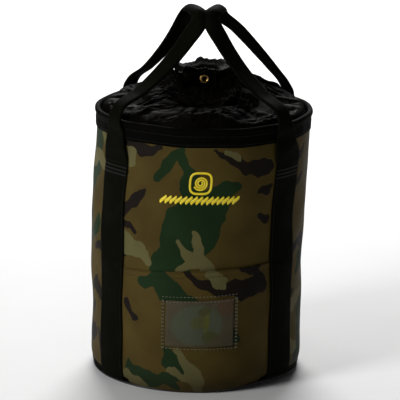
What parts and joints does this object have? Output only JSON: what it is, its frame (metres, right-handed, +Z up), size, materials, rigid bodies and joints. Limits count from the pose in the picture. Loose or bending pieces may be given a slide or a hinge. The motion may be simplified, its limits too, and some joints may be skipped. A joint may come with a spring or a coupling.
{
  "type": "rope storage bag",
  "caption": "Upright round fabric rope bag with a stiff rim, drawn collar, two webbing carrying loops and a front pocket with a clear card window.",
  "frame": {"origin": "centre of the underside of the base, which rests on the floor", "axes": "+Z up, +X to the right of someone who faces the pocket, +Y towards the back; the pocket faces -Y"},
  "size_m": [0.297, 0.3052, 0.5033],
  "materials": {
    "camo_coated_fabric": "satin vinyl-coated woven polyester with a four-colour woodland print",
    "black_webbing": "ribbed nylon webbing",
    "rim_binding": "folded nylon binding webbing",
    "base_fabric": "coated base fabric and tape",
    "collar_nylon": "crumpled light black nylon",
    "hoop_plastic": "plain extruded rod",
    "sewing_thread": "bonded nylon thread",
    "clear_vinyl": "clear flexible vinyl",
    "card_stock": "printed card",
    "badge_ink": "yellow screen print",
    "brass": "rolled brass",
    "drawcord": "braided polyester cord"
  },
  "bodies": {
    "bag": {"body_panel": "camo_coated_fabric", "back_seam_tape": "base_fabric", "base_panel": "base_fabric", "base_binding": "rim_binding", "rim_hoop": "hoop_plastic", "rim_band": "rim_binding", "strap_front_left": "black_webbing", "strap_front_right": "black_webbing", "strap_back_left": "black_webbing", "strap_back_right": "black_webbing", "bartack_front_left": "sewing_thread", "bartack_front_right": "sewing_thread", "bartack_back_left": "sewing_thread", "bartack_back_right": "sewing_thread", "pocket_panel": "camo_coated_fabric", "pocket_hem_tape": "rim_binding", "id_window": "clear_vinyl", "collar": "collar_nylon", "collar_channel": "collar_nylon", "drawcord": "drawcord", "grommet_eyelet": "brass", "grommet_washer": "brass"},
    "left_loop": {"handle_left": "black_webbing"},
    "right_loop": {"handle_right": "black_webbing"},
    "card": {"id_card": "card_stock"}
  },
  "joints": [
    {"name": "left_loop_swing", "type": "hinge", "parent": "bag", "child": "left_loop", "pos_m": [-0.133, 0, 0.305], "axis": [0, -1, 0], "range_deg": [0, 180]},
    {"name": "right_loop_swing", "type": "hinge", "parent": "bag", "child": "right_loop", "pos_m": [0.133, 0, 0.305], "axis": [0, 1, 0], "range_deg": [0, 180]},
    {"name": "card_slide", "type": "slide", "parent": "bag", "child": "card", "axis": [0, 0, 1], "range_m": [0, 0.065]}
  ]
}
